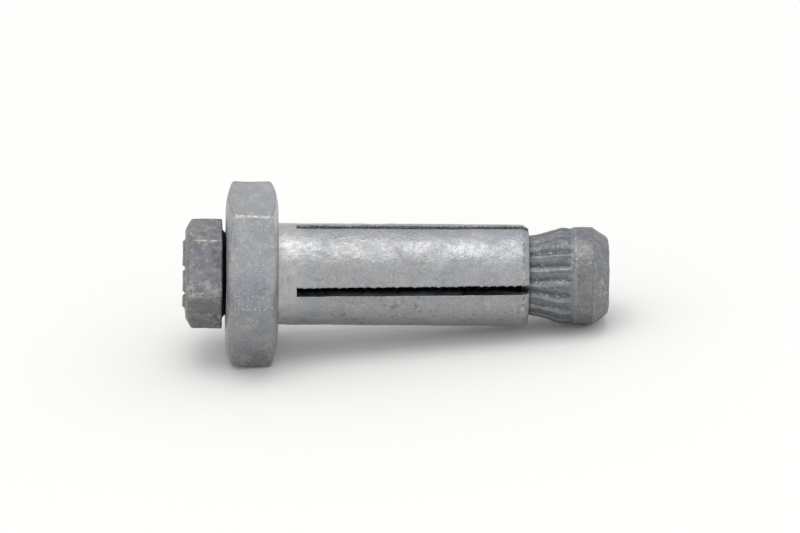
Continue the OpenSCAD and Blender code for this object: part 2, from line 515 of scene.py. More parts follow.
def thread_lines(start, end, sizes, angle):
    """Places and radii of the thread's helix lines, from over a turn before start to over a turn past end.

    A line lies at pitch x (turns + angle / one turn). Its height is level at crests and roots."""
    first = math.floor(start / sizes.thread_pitch) - SPARE_TURNS
    last = math.ceil(end / sizes.thread_pitch) + SPARE_TURNS
    turns = np.arange(first * THREAD_STEPS, last * THREAD_STEPS) / THREAD_STEPS
    along = sizes.thread_pitch * (turns[:, None] + angle / (2 * math.pi))
    reach = sizes.thread_depth / 2
    height = np.clip(thread_height(turns) * sizes.thread_pitch, -reach, reach)
    middle = sizes.thread_radius - reach
    return along, np.broadcast_to((middle + height)[:, None], along.shape)


def head_patch(sizes, angle):
    """Rows from the middle of the crown over the chamfer, the flats and the washer face to the neck."""
    seat = CROWN + sizes.head_height
    under = seat - sizes.washer_height
    face = sizes.head_flats / 2 - sizes.crown_inset
    washer = sizes.head_flats / 2 - sizes.washer_inset
    neck = sizes.thread_radius - sizes.thread_depth / 2
    rim = hex_rim(sizes.head_flats, angle - sizes.head_turn)
    chamfer_end = CROWN + (rim - face) * math.tan(sizes.crown_slope)
    rings = [
        (CROWN, 0, 0),
        (CROWN, face, 48),
        (chamfer_end, rim, 10),
        (under, rim, 20),
        (under, washer, 8),
        (seat, washer - sizes.washer_height, 5),
        (seat, neck, 5),
        (seat + sizes.neck_length, neck, 4),
    ]
    along, radius = lofted(rings, angle)
    return patch(polar(along, radius, angle), wrapped=True)


def thread_patch(sizes, angle):
    """The thread as helix lines that rise out of the neck and run down the chamfer of the tip."""
    start = CROWN + sizes.head_height + sizes.neck_length
    neck = sizes.thread_radius - sizes.thread_depth / 2
    along, radius = thread_lines(start, TIP, sizes, angle)
    along = np.clip(along, start, TIP)
    share = eased((along - start) / sizes.thread_pitch)
    radius = neck + (radius - neck) * share
    tip_radius = sizes.thread_radius - sizes.tip_chamfer + TIP - along
    return helix_patch(polar(along, np.minimum(radius, tip_radius), angle), THREAD_STEPS)


def tip_patch(sizes, angle):
    """The flat end of the bolt, from the foot of its chamfer to the axis."""
    along, radius = lofted([(TIP, sizes.thread_radius - sizes.tip_chamfer, 0), (TIP, 0, 8)], angle)
    return patch(polar(along, radius, angle), wrapped=True)


def crown_marks(points, sizes):
    """Height of two columns of plain raised bars on the crown, as a share: smooth steps at a bar's two ends
    and at its sides, times each other."""
    level, rise = math.cos(sizes.mark_turn), math.sin(sizes.mark_turn)
    across = points[:, 2] * rise - points[:, 1] * level
    upward = points[:, 1] * rise + points[:, 2] * level
    height = np.zeros(len(points))
    for low, high in BAR_SPANS:
        inside = eased((upward - low) / BAR_SOFT) * eased((high - upward) / BAR_SOFT)
        for place in BAR_PLACES:
            height += inside * eased((BAR_HALF - np.abs(across - place)) / BAR_SOFT)
    return height


def hex_bolt_mesh(sizes):
    """Head, neck, thread and tip as one closed skin, with the zinc rounded over the head's edges."""
    angle = np.unique(np.round(corner_columns(HEAD_STEPS, sizes.head_turn), 9))
    patches = [head_patch(sizes, angle), thread_patch(sizes, angle), tip_patch(sizes, angle)]
    mesh = welded_mesh("hex_bolt_zinc", patches)
    points = mesh_points(mesh)
    under = CROWN + sizes.head_height - sizes.washer_height
    face = sizes.head_flats / 2 - sizes.crown_inset
    lean, rise = math.cos(sizes.crown_slope), math.sin(sizes.crown_slope)
    crown_chamfer = turned_face(-lean, rise, rise * face - lean * CROWN)
    faces = hex_faces(sizes.head_flats, sizes.head_turn)
    faces += [turned_face(-1, 0, -CROWN), crown_chamfer, turned_face(1, 0, under)]
    on_head = points[:, 0] < under + WELD
    edge = np.zeros(len(points))
    points[on_head], edge[on_head] = rounded(points[on_head], faces, sizes.head_round)
    over_chamfer, _ = crown_chamfer(points)
    chamfer = on_head * np.exp(-((over_chamfer / FACE_REACH) ** 2))
    worn = edge * corner_wear(points, sizes.head_turn)
    crown = points[:, 0] < CROWN + sizes.head_round
    raised = np.zeros(len(points))
    raised[crown] = crown_marks(points[crown], sizes)
    points[:, 0] -= sizes.mark_height * raised
    head = eased((under + sizes.washer_height - points[:, 0]) / sizes.washer_height)
    points += (uneven(points, BOLT_WAVES, BOLT_SEED) - points) * head[:, None]
    set_points(mesh, points)
    around = around_axis(points)
    shares = {
        "edge": edge,
        "worn": worn,
        "chamfer": chamfer,
        "raised": raised,
        "rubbed": head * round_shares(around, RUBBED_HEAD),
        "dull_and_shade": head * round_shares(around, SHADED_HEAD),
    }
    set_shares(mesh, shares)
    return mesh


# Slotted sleeve

# Columns beside the collar's corners in degrees, across a slot as shares of half of it, and from a slot's
# edge into the leg in degrees
CORNER_STEPS = (0, 0.45, 1.0, 1.7, 2.6, 3.8)
SLOT_SHARES = (-1, -0.8, -0.4, 0, 0.4, 0.8, 1)
LEG_STEPS = (0.4, 0.9, 1.6, 2.6, 4.0, 6.0, 9.0, 12.3, 15.7, 19.1, 22.5, 26.0, 29.5, 33.0, 36.5)
# Columns through the wall, and rows along the mouth's chamfer, as shares
WALL_SHARES = (0, 0.04, 0.12, 0.3, 0.7, 0.88, 0.96, 1)
CHAMFER_SHARES = (0, 0.08, 0.2, 0.4, 0.6, 0.8, 0.92, 1)
# Distances of the rows beside a turn of the outline, and between the rows elsewhere
NEAR = np.array((0.08, 0.2, 0.4, 0.7)) * MM
ROW_STEP = 0.26 * MM
# Angle between a corner's column and a slot's below which the corner's is left out
COLUMN_GAP = math.radians(0.2)
# Angle over which the shift of the slots' inner edges fades into the legs
SHIFT_FADE = math.radians(15)
# Distance between burrs, how sharp they are, and lengths of the waves that shift, grow and fray them
BURR_STEP = 1.15 * MM
BURR_SHARP = 1.4
BURR_SHIFT_WAVE = 5 * MM
BURR_GROWTH_WAVE = 1.8 * MM
BURR_FRAY_WAVE = 0.55 * MM
# Strengths of those waves, the middle height of a burr, and its least and greatest
BURR_SHIFT = 0.5
BURR_GROWTH = 0.3
BURR_FRAY = 0.18
BURR_MIDDLE = 0.75
BURR_RANGE = (0.2, 1.2)
# Distances over which burrs fade into the leg, towards the closed end and below the outside
BURR_REACH = 0.22 * MM
BURR_START = 0.5 * MM
BURR_DEPTH = 1.2 * MM
# Distance from a slot's edge within which the outside is rough from the saw, and that before its end
SAW_REACH = 0.14 * MM
SAW_BEFORE = 0.1 * MM
# Depth of zinc over the bore that counts as the bore
BORE_SKIN = 0.1 * MM
# Distance from a slot's other edge within which the zinc is dull, length over which that starts at the
# closed end, and how dull it is there
LIP_REACH = 0.8 * MM
LIP_START = 1.0 * MM
LIP_DULL = 0.55
# Sideways shift of the saw cuts at their closed ends
SAW_START = 0.06 * MM
# Angle of a flat with lines of the drawn bar; each second flat has them
DRAWN_FLAT = math.radians(150)
# Angles in degrees about the axis, and how dull and dark the collar's zinc is there: most at one corner,
# and towards the lower face, where the darkening is painted shade
DULL_AND_SHADED_COLLAR = ((157, 171, 178, 183, 215, 236, 250), (0, 1, 1, 0.55, 0.5, 0.85, 0))
# The same for the stains on the legs: most on their lower side
STAINED_LEGS = ((180, 195, 300, 340), (0, 1, 1, 0))
# Lengths of the waves in the sleeve's zinc, and their heights as shares of the swell
SLEEVE_WAVES = ((4.2 * MM, 1), (1.4 * MM, 0.5))
SLEEVE_SEED = 23
BURR_SEED = SLEEVE_SEED + 20


def slot_edge(sizes, radius):
    """Half the angle that a slot with parallel walls takes up at a radius."""
    return np.arcsin(sizes.slot_width / 2 / radius)


def sleeve_columns(sizes):
    """Angles of the sleeve's columns, crowded at the slots' walls and at the collar's corners."""
    reach = slot_edge(sizes, SLEEVE_RADIUS)
    beside = reach + np.radians(LEG_STEPS)
    near = np.concatenate([-beside[::-1], reach * np.array(SLOT_SHARES), beside])
    middles = sizes.slot_turn + np.arange(sizes.slot_count) * 2 * math.pi / sizes.slot_count
    walls = np.mod((middles[:, None] + near).ravel(), 2 * math.pi)
    corners = corner_columns(CORNER_STEPS)
    gap = np.abs(np.mod(corners[:, None] - walls + math.pi, 2 * math.pi) - math.pi).min(1)
    return np.sort(np.concatenate([walls, corners[gap > COLUMN_GAP]]))


def from_slot(sizes, angle):
    """Angle from the middle of the nearest slot, and that middle's angle."""
    spacing = 2 * math.pi / sizes.slot_count
    middle = np.round((angle - sizes.slot_turn) / spacing) * spacing + sizes.slot_turn
    return angle - middle, middle


def leaned(sizes, angle, radius):
    """Angles of columns at a smaller radius: slot walls stay parallel, and their shift fades into the
    legs."""
    aside, middle = from_slot(sizes, angle)
    outer = slot_edge(sizes, SLEEVE_RADIUS)
    wider = slot_edge(sizes, np.minimum(radius, SLEEVE_RADIUS)) - outer
    inside = np.abs(aside) <= outer + WELD
    fade = np.clip(1 - (np.abs(aside) - outer) / SHIFT_FADE, 0, 1)
    share = np.where(inside, aside / outer, np.sign(aside) * fade)
    return middle + aside + share * wider


def sleeve_rows(sizes):
    """Places of rows along the sleeve, crowded at the collar, the slots' closed ends and the mouth."""
    start = sizes.slot_start
    chamfer = MOUTH - sizes.chamfer_length
    steps = np.arange(start + NEAR[-1] + ROW_STEP, chamfer - NEAR[-1], ROW_STEP)
    rows = [(0, start / 2), NEAR, start - NEAR, (start,), start + NEAR, steps, chamfer - NEAR]
    rows += [chamfer + sizes.chamfer_length * np.array(CHAMFER_SHARES)]
    return np.unique(np.round(np.concatenate(rows), 9))


def wall_radii(sizes, along):
    """Inner and outer radius of the sleeve's wall at places along it."""
    opened = sizes.mouth_radius - (MOUTH - along) * math.tan(sizes.mouth_slope)
    inner = np.maximum(sizes.bore_radius, opened)
    past = np.maximum(0, along - MOUTH + sizes.chamfer_length)
    return inner, SLEEVE_RADIUS - past * sizes.mouth_chamfer / sizes.chamfer_length


def sleeve_patches(sizes, angle):
    """Outside, bore, slot walls, closed ends and mouth of the legs, as slices of one lattice that is
    counted along, round and through the wall."""
    along = sleeve_rows(sizes)
    inner, outer = wall_radii(sizes, along)
    share = np.array(WALL_SHARES)
    radius = inner[:, None] * (1 - share) + outer[:, None] * share
    radii = radius[:, None, :]
    lattice = polar(along[:, None, None], radii, leaned(sizes, angle[None, :, None], radii))
    aside, _ = from_slot(sizes, angle)
    edge = slot_edge(sizes, SLEEVE_RADIUS)
    next_aside, _ = from_slot(sizes, np.roll(angle, -1))
    in_slot = (aside > -edge - WELD) & (next_aside < edge + WELD) & (next_aside > aside)
    first = int(np.argmin(np.abs(along - sizes.slot_start)))
    keep = ~((np.arange(len(along) - 1) >= first)[:, None] & in_slot)
    patches = [
        patch(lattice[:, :, -1], wrapped=True, keep=keep),
        patch(lattice[:, :, 0], wrapped=True, keep=keep, turned=True),
    ]
    for side in (-1, 1):
        for column in np.flatnonzero(np.abs(aside - side * edge) < WELD):
            patches.append(patch(lattice[first:, column], turned=side < 0))
    for row, cells in ((first, in_slot), (len(along) - 1, ~in_slot)):
        keep_cells = np.repeat(cells[None, :], len(share) - 1, 0)
        patches.append(patch(lattice[row].swapaxes(0, 1), wrapped=True, keep=keep_cells, turned=True))
    return patches


def collar_patch(sizes, angle):
    """Rows from the bearing face back through the bore and round the collar to the sleeve."""
    bore = sizes.bore_radius
    face = sizes.collar_flats / 2 - sizes.collar_inset
    rim = hex_rim(sizes.collar_flats, angle)
    drop = (rim - face) * math.tan(sizes.collar_slope)
    rings = [
        (0, bore, 0),
        (COLLAR_BACK, bore, 7),
        (COLLAR_BACK, face, 12),
        (COLLAR_BACK + drop, rim, 8),
        (-drop, rim, 24),
        (0, face, 8),
        (0, SLEEVE_RADIUS, 10),
    ]
    along, radius = lofted(rings, angle)
    return patch(polar(along, radius, leaned(sizes, angle[None, :], radius)), wrapped=True)


def turned_points(points, by):
    """Points turned about the axis by an angle each."""
    level = points[:, 1] * np.cos(by) - points[:, 2] * np.sin(by)
    rise = points[:, 1] * np.sin(by) + points[:, 2] * np.cos(by)
    return np.stack([points[:, 0], level, rise], -1)


def burrs(points, sizes):
    """Turn that hangs burrs into the slots from one edge of each.

    A burr is a power of 1 less the sine's size along the slot, times a random height. It fades with the
    square of the distance from the edge, towards the closed end and with the depth below the outside."""
    radius = off_axis(points)
    aside, _ = from_slot(sizes, around_axis(points))
    from_edge = radius * np.sin(aside) + sizes.slot_width / 2
    past_end = points[:, 0] - sizes.slot_start
    shift = BURR_SHIFT * ripple(points, BURR_SHIFT_WAVE, BURR_SEED)
    growth = BURR_GROWTH * ripple(points, BURR_GROWTH_WAVE, BURR_SEED + 1)
    fray = BURR_FRAY * ripple(points, BURR_FRAY_WAVE, BURR_SEED + 2)
    tooth = (1 - np.abs(np.sin(math.pi * points[:, 0] / BURR_STEP + shift))) ** BURR_SHARP
    height = np.clip(BURR_MIDDLE + growth, *BURR_RANGE)
    fade = np.exp(-((from_edge / BURR_REACH) ** 2)) * eased(past_end / BURR_START)
    fade *= eased(1 - (SLEEVE_RADIUS - radius) / BURR_DEPTH)
    return sizes.burr * (tooth * height + fray) * fade / np.maximum(radius, TINY)


def saw_turn(points, sizes):
    """Turn that makes the saw cuts lean to one side: the sideways shift at a place along the sleeve, times
    the sine of the angle from that side, over the radius."""
    run = math.tan(sizes.saw_lean) * (MOUTH - sizes.slot_start)
    shift = np.interp(points[:, 0], (0, sizes.slot_start, MOUTH), (0, -SAW_START, run - SAW_START))
    return shift / SLEEVE_RADIUS * np.sin(sizes.saw_side - around_axis(points))


def bearing_chamfer(sizes):
    """The corner chamfers beside the collar's bearing face."""
    face = sizes.collar_flats / 2 - sizes.collar_inset
    lean, rise = math.cos(sizes.collar_slope), math.sin(sizes.collar_slope)
    return turned_face(lean, rise, rise * face)


def collar_faces(sizes):
    """The flats, end faces, corner chamfers and bore of the collar."""
    face = sizes.collar_flats / 2 - sizes.collar_inset
    lean, rise = math.cos(sizes.collar_slope), math.sin(sizes.collar_slope)
    return hex_faces(sizes.collar_flats, 0.0) + [
        turned_face(-1, 0, -COLLAR_BACK),
        turned_face(-lean, rise, rise * face - lean * COLLAR_BACK),
        bearing_chamfer(sizes),
        turned_face(1, 0, 0),
        turned_face(0, -1, -sizes.bore_radius),
    ]


def leg_faces(sizes):
    """The outside, mouth, bore and slots of the legs."""
    slant = math.hypot(sizes.mouth_chamfer, sizes.chamfer_length)
    ahead, outward = sizes.mouth_chamfer / slant, sizes.chamfer_length / slant
    chamfer_start = MOUTH - sizes.chamfer_length
    across, deep = math.cos(sizes.mouth_slope), math.sin(sizes.mouth_slope)
    return [
        turned_face(0, 1, SLEEVE_RADIUS),
        turned_face(ahead, outward, ahead * chamfer_start + outward * SLEEVE_RADIUS),
        turned_face(1, 0, MOUTH),
        turned_face(0, -1, -sizes.bore_radius),
        turned_face(deep, -across, deep * MOUTH - across * sizes.mouth_radius),
        slot_face(sizes),
    ]


def sleeve_shares(sizes, points, radius, on_collar):
    """Shares that the sleeve's finish reads, such as how far through the wall a point lies or how near a
    slot's sawn edge. The radius is that of a point on the sharp faces, before it was drawn in."""
    around = around_axis(points)
    on_legs = points[:, 0] > WELD
    inner, outer = wall_radii(sizes, points[:, 0])
    depth = np.clip((outer - radius) / (outer - inner), 0, 1) * on_legs
    aside, _ = from_slot(sizes, around)
    beside = radius * np.sin(aside)
    past_end = points[:, 0] - sizes.slot_start
    from_edge = (beside + sizes.slot_width / 2) / SAW_REACH
    from_lip = (beside - sizes.slot_width / 2) / LIP_REACH
    lip = np.exp(-(from_lip**2)) * eased(past_end / LIP_START) * (aside > 0)
    over_chamfer, _ = bearing_chamfer(sizes)(points)
    at_rim = on_collar & (radius > sizes.collar_flats / 2 - sizes.collar_inset)
    return {
        "inner": np.where(radius < sizes.bore_radius + BORE_SKIN, 1, depth),
        "sawn": np.exp(-(from_edge**2)) * (past_end > -SAW_BEFORE),
        "dull_and_shade": np.where(on_collar, round_shares(around, DULL_AND_SHADED_COLLAR), LIP_DULL * lip),
        "stained": round_shares(around, STAINED_LEGS),
        "drawn": 0.5 + 0.5 * np.cos(HEX_SIDES / 2 * (around - DRAWN_FLAT)),
        "across": across_flats(sizes.collar_flats, around),
        "chamfer": at_rim * np.exp(-((over_chamfer / FACE_REACH) ** 2)),
    }


def slotted_sleeve_mesh(sizes):
    """Collar and slotted legs as one closed skin, with the zinc rounded over their edges."""
    angle = sleeve_columns(sizes)
    patches = [collar_patch(sizes, angle), *sleeve_patches(sizes, angle)]
    mesh = welded_mesh("slotted_sleeve_zinc", patches)
    points = mesh_points(mesh)
    radius = off_axis(points)
    on_collar = (points[:, 0] < WELD) & (radius > sizes.bore_radius + WELD)
    on_collar |= points[:, 0] < COLLAR_BACK / 2
    on_legs = points[:, 0] > WELD
    edge = np.zeros(len(points))
    for part, faces, reach in (
        (on_collar, collar_faces(sizes), sizes.collar_round),
        (on_legs, leg_faces(sizes), sizes.edge_round),
    ):
        points[part], edge[part] = rounded(points[part], faces, reach)
    worn = edge * np.where(on_collar, corner_wear(points), 1)
    shares = {"edge": edge, "worn": worn, **sleeve_shares(sizes, points, radius, on_collar)}
    points = turned_points(points, burrs(points, sizes))
    points = turned_points(points, saw_turn(points, sizes))
    waves = [(wave, share * sizes.swell) for wave, share in SLEEVE_WAVES]
    set_points(mesh, uneven(points, waves, SLEEVE_SEED))
    set_shares(mesh, shares)
    return mesh


# Ribbed cone

# Columns for each flute, and the step between rows along the outline
FLUTE_COLUMNS = 18
OUTLINE_STEP = 0.13 * MM
# Length by which the outline is drawn past both ends
OUTLINE_PAST = 1.0 * MM
# Window over which it is averaged, the share of that at the crisp turn into the tail, and the length of the
# band before that share holds
OUTLINE_SOFT = np.linspace(-0.22, 0.22, 9) * MM
TAIL_SOFT = 0.35
SOFT_BAND = 1.0 * MM
# Rows beside the turn into the tail, and before the tail's end
TURN_ROWS = np.array((-0.14, -0.08, -0.04, 0, 0.04, 0.08, 0.14)) * MM
EDGE_ROWS = np.array((0.34, 0.24, 0.16, 0.1, 0.05, 0)) * MM
# Places along the taper, as shares of it, where its hollow is deepest and where it has nearly run out
KNEE = 0.43
CREST = 0.9
# Shares of the hollow by which the crest, the ribs before the shoulder and the start of the band lie lower
CREST_DIP = 1 / 4
RIB_DIP = 0.75
BAND_DIP = 1 / 3
# Length by which the ribs reach their full height past the taper, and that of the band's slight rise
RIB_PAST = 0.2 * MM
BAND_RISE = 1.6 * MM
# Turning places of a flute round the cone, as shares of its pitch, and the depth there as a share
FLUTE_SHAPE = ((0.01, 0.32, 0.42), (1, 0, 0))
# Window over which that shape is averaged, how far the flutes wander as a share of the pitch, and over what
# length
FLUTE_SOFT = np.linspace(-0.045, 0.045, 7)
FLUTE_WANDER = 0.035
WANDER_WAVE = 4 * MM
# Length over which the flutes run out, how far past the shoulder that ends, and how far it bows on the ribs
RUN_OUT = 0.85 * MM
RUN_OUT_PAST = 0.15 * MM
RUN_OUT_BOW = 0.4 * MM
# Middle and width of marks along a rib, as shares of the pitch: a brown line below it, a frosted flank
# above it that is partly painted light, crumbs of zinc at the foot of that flank and painted shade in the bottom
# of the flute
BROWN_LINE = (0.44, 0.06)
FROSTED_LIT_FLANK = (0.2, 0.13)
CRUMBED_FOOT = (0.06, 0.1)
FLUTE_SHADE_BOTTOM = (0.91, 0.1)
# Shares of the flutes' depth that zinc fills, at angles round the cone
FILLED_FLUTES = ((60, 85, 106, 122, 190, 204, 290, 310), (0, 0.4, 0.4, 0, 0, 0.5, 0.5, 0))
# Gap between the thread's roots and the cylinder that the hole is measured by, and the depth of its skin
HOLE_GAP = 0.04 * MM
HOLE_SKIN = 0.3 * MM
# Length before the tail's end in which its edge is rounded
TAIL_REACH = 1.0 * MM
# Lengths and heights of the waves in the cone's zinc
CONE_WAVES = ((2.2 * MM, 0.025 * MM), (0.8 * MM, 0.013 * MM))
CONE_SEED = 37
WANDER_SEED = CONE_SEED + 20


def cone_places(sizes):
    """Places where the cone's outline turns: the end of the taper, the shoulder, the band and the tail."""
    taper_end = NOSE + (sizes.rib_radius - sizes.nose_radius) / math.tan(sizes.taper_slope)
    shoulder = taper_end + sizes.rib_land
    band = shoulder + sizes.shoulder_length
    return taper_end, shoulder, band, band + sizes.band_length


def cone_outline(sizes, along):
    """Radius over the ribs, the shoulder and the band: straight runs between the turning places, averaged
    over a short window so that the turns are soft. The taper is hollow before its end, and the ribs dip
    before the shoulder."""
    taper_end, shoulder, band, tail = cone_places(sizes)
    climb = math.tan(sizes.taper_slope)
    fall = math.tan(sizes.tail_slope)
    knee = NOSE + KNEE * (taper_end - NOSE)
    crest = NOSE + CREST * (taper_end - NOSE)
    outline = [
        (NOSE - OUTLINE_PAST, sizes.nose_radius - climb * OUTLINE_PAST),
        (knee, sizes.nose_radius + climb * (knee - NOSE) - sizes.hollow),
        (crest, sizes.rib_radius - CREST_DIP * sizes.hollow),
        (taper_end + RIB_PAST, sizes.rib_radius),
        (shoulder, sizes.rib_radius - RIB_DIP * sizes.hollow),
        (band, sizes.band_radius - BAND_DIP * sizes.hollow),
        (band + BAND_RISE, sizes.band_radius),
        (tail, sizes.band_radius),
        (TAIL + OUTLINE_PAST, sizes.band_radius - fall * (TAIL + OUTLINE_PAST - tail)),
    ]
    places, radii = np.array(outline).T
    weight = 1 + np.cos(OUTLINE_SOFT / OUTLINE_SOFT[-1] * math.pi)
    window = OUTLINE_SOFT * np.where(along > band + SOFT_BAND, TAIL_SOFT, 1)[..., None]
    return np.interp(along[..., None] + window, places, radii) @ (weight / weight.sum())


def round_cone(sizes, along, angle, slot_turn):
    """Share of a pitch round the cone from the middle of a flute: the turn from it over the pitch, and a
    slight wander along the taper."""
    turned = angle - slot_turn - sizes.flute_turn
    places = polar(along, 2 * sizes.band_radius, angle)
    wander = FLUTE_WANDER * ripple(places.reshape(-1, 3), WANDER_WAVE, WANDER_SEED)
    share = turned * sizes.flute_count / (2 * math.pi) + wander.reshape(places.shape[:-1])
    return np.mod(share, 1)


def flute_share(sizes, along, angle, slot_turn):
    """Depth of the flutes as a share: straight runs between a steep flank, a rib and a long flank, averaged
    over a short window, times a round run-out at the shoulder and what the zinc leaves open."""
    share = round_cone(sizes, along, angle, slot_turn)
    depth = np.mean([np.interp(share + step, *FLUTE_SHAPE, period=1) for step in FLUTE_SOFT], 0)
    _, shoulder, _, _ = cone_places(sizes)
    bow = RUN_OUT_BOW * (1 - depth)
    run_out = eased((shoulder + RUN_OUT_PAST - bow - along) / RUN_OUT)
    return depth * run_out * (1 - round_shares(angle, FILLED_FLUTES))


def near_share(share, middle, width):
    """1 at one share of a pitch, falling with the square of the distance from it over the width."""
    away = np.mod(share - middle + 0.5, 1) - 0.5
    return np.exp(-((away / width) ** 2))


def cone_patches(sizes, bolt, slot_turn, hole_rim):
    """The outside from the hole's rim at the nose round to its rim at the tail, and the tapped hole."""
    columns = sizes.flute_count * FLUTE_COLUMNS
    angle = np.arange(columns) * 2 * math.pi / columns
    _, _, _, tail = cone_places(sizes)
    rows = [np.arange(NOSE, TAIL - EDGE_ROWS[0], OUTLINE_STEP), tail + TURN_ROWS, TAIL - EDGE_ROWS]
    places = np.sort(np.concatenate(rows))[:, None]
    depth = sizes.flute_depth * flute_share(sizes, places, angle, slot_turn)
    outer = cone_outline(sizes, places) - depth
    nose_along, nose_radius = lofted([(NOSE, hole_rim, 0), (NOSE, outer[0], 7)], angle)
    tail_along, tail_radius = lofted([(TAIL, outer[-1], 0), (TAIL, hole_rim, 14)], angle)
    along = np.concatenate([nose_along, places + 0 * angle, tail_along])
    radius = np.concatenate([nose_radius, outer, tail_radius])
    skin = patch(polar(along, radius, angle), wrapped=True)
    line_along, line_radius = thread_lines(NOSE, TAIL, bolt, angle)
    line_along = np.clip(line_along, NOSE, TAIL)
    flare = hole_rim - np.minimum(line_along - NOSE, TAIL - line_along)
    line_radius = np.maximum(line_radius + sizes.thread_gap, flare)
    thread = helix_patch(polar(line_along, line_radius, angle), THREAD_STEPS, turned=True)
    return [skin, thread]


def cone_mesh(sizes, bolt, slot_turn):
    """Nose, ribs, shoulder, band, tail and the tapped hole as one closed ring."""
    hole = bolt.thread_radius + sizes.thread_gap + HOLE_GAP
    patches = cone_patches(sizes, bolt, slot_turn, hole + sizes.hole_chamfer)
    mesh = welded_mesh("ribbed_cone_zinc", patches)
    points = mesh_points(mesh)
    outside = off_axis(points) > hole + HOLE_SKIN
    around = around_axis(points)
    valley = flute_share(sizes, points[:, 0], around, slot_turn) * outside
    share = round_cone(sizes, points[:, 0], around, slot_turn)
    _, _, _, tail = cone_places(sizes)
    lean, rise = math.sin(sizes.tail_slope), math.cos(sizes.tail_slope)
    tail_chamfer = turned_face(lean, rise, lean * tail + rise * sizes.band_radius)
    end = outside & (points[:, 0] > TAIL - TAIL_REACH)
    points[end], _ = rounded(points[end], [tail_chamfer, turned_face(1, 0, TAIL)], sizes.tail_round)
    set_points(mesh, np.where(outside[:, None], uneven(points, CONE_WAVES, CONE_SEED), points))
    shares = {
        "valley": valley,
        "foot": near_share(share, *BROWN_LINE),
        "flank": near_share(share, *FROSTED_LIT_FLANK),
        "crumbed": near_share(share, *CRUMBED_FOOT),
        "flute_shade": valley * near_share(share, *FLUTE_SHADE_BOTTOM),
        "inner": 1 - outside.astype(float),
    }
    set_shares(mesh, shares)
    return mesh


# Finishes

# Size of the zinc's fine crystals
GRAIN = 0.26 * MM
# Height of the crystals against the dents that they lie on
GRAIN_HEIGHT = 0.4
# Width of the warm and cool patches against the pale and dark clouds, and how strong they are
PATCH_WIDTH = 1.9
PATCH_STRENGTH = 0.75
# Rise of the noise from no speck to a full one, and the span of noise that gathers specks into patches
SPECK_RISE = 0.05
SPECK_PATCHES = (0.42, 0.6)
# Noise under and over a set share between which a broken mask goes from none to full
BREAK_UNDER = 0.04
BREAK_OVER = 0.06
# Spans of how near a point is to an edge, for its wear and its dirt
WORN_SPAN = (0.1, 0.7)
DIRT_SPAN = (0.2, 0.7)
# Dirt and worn places
BROWN = (0.16, 0.145, 0.115)
GRIME = (0.1, 0.093, 0.078)
SAW_DIRT = (0.135, 0.131, 0.117)
WORN = (0.6, 0.6, 0.59)
# Zinc that has set paler, bluer or duller than the rest, with painted light and painted shade where noted
PALE_ZINC = (0.52, 0.53, 0.54)
# Paler at the sleeve's root, partly painted light, and in the corner by the collar, painted light
ROOT_ZINC_AND_FILL_LIGHT = (0.58, 0.576, 0.568)
CORNER_FILL_LIGHT = (0.7, 0.695, 0.68)
BLUE_ZINC = (0.35, 0.395, 0.445)
CRUMB = (0.46, 0.49, 0.53)
FROST = (0.32, 0.34, 0.37)
SLATE = (0.118, 0.13, 0.147)
COLD_GREY = (0.235, 0.249, 0.27)
SHOULDER_BLUE = (0.225, 0.25, 0.28)
TAIL_GREY = (0.246, 0.249, 0.255)
OLIVE = (0.225, 0.222, 0.2)
# Painted shade: a darker olive for the head's lower face
SHADE_OLIVE = (0.175, 0.173, 0.152)
# Painted shade: walls of the slots, the depth of the bores and the shank inside them
SHADED_WALL = (0.42, 0.447, 0.492)
SHADED_BORE = (0.09, 0.095, 0.105)
SHADED_SHANK = (0.06, 0.06, 0.065)
# Distance between the lines of drawn bar, the size and reach of their bends, and their darkest and palest
# levels
LINE_STEP = 0.3 * MM
BEND_SIZE = 2.5 * MM
BEND_REACH = 14.0
LINE_LEVELS = (0.86, 1.08)
# Half the length over which the collar's finish turns into that of the sleeve
COLLAR_BLUR = 0.1 * MM
# Smoothest and roughest places of the legs, their root, the cone and the bolt, and the collar's roughness
LEG_GLOSS = (0.3, 0.64)
ROOT_GLOSS = (0.4, 0.6)
CONE_GLOSS = (0.4, 0.58)
BOLT_GLOSS = (0.42, 0.6)
COLLAR_GLOSS = 0.46
# Share of metal where the saw has left dirt
SAWN_METAL = 0.5
# Turn about Y that brings the X of the coordinates along the bolt's axis
AXIS_TILT = math.asin(AXIS[2])
# Places of a Mix node's sockets for colours: its share, its two colours and its result
MIX_SHARE = 0
MIX_FIRST = 6
MIX_SECOND = 7
MIX_RESULT = 2


def opaque(rgb):
    """A colour with full alpha."""
    return (*rgb, 1.0)


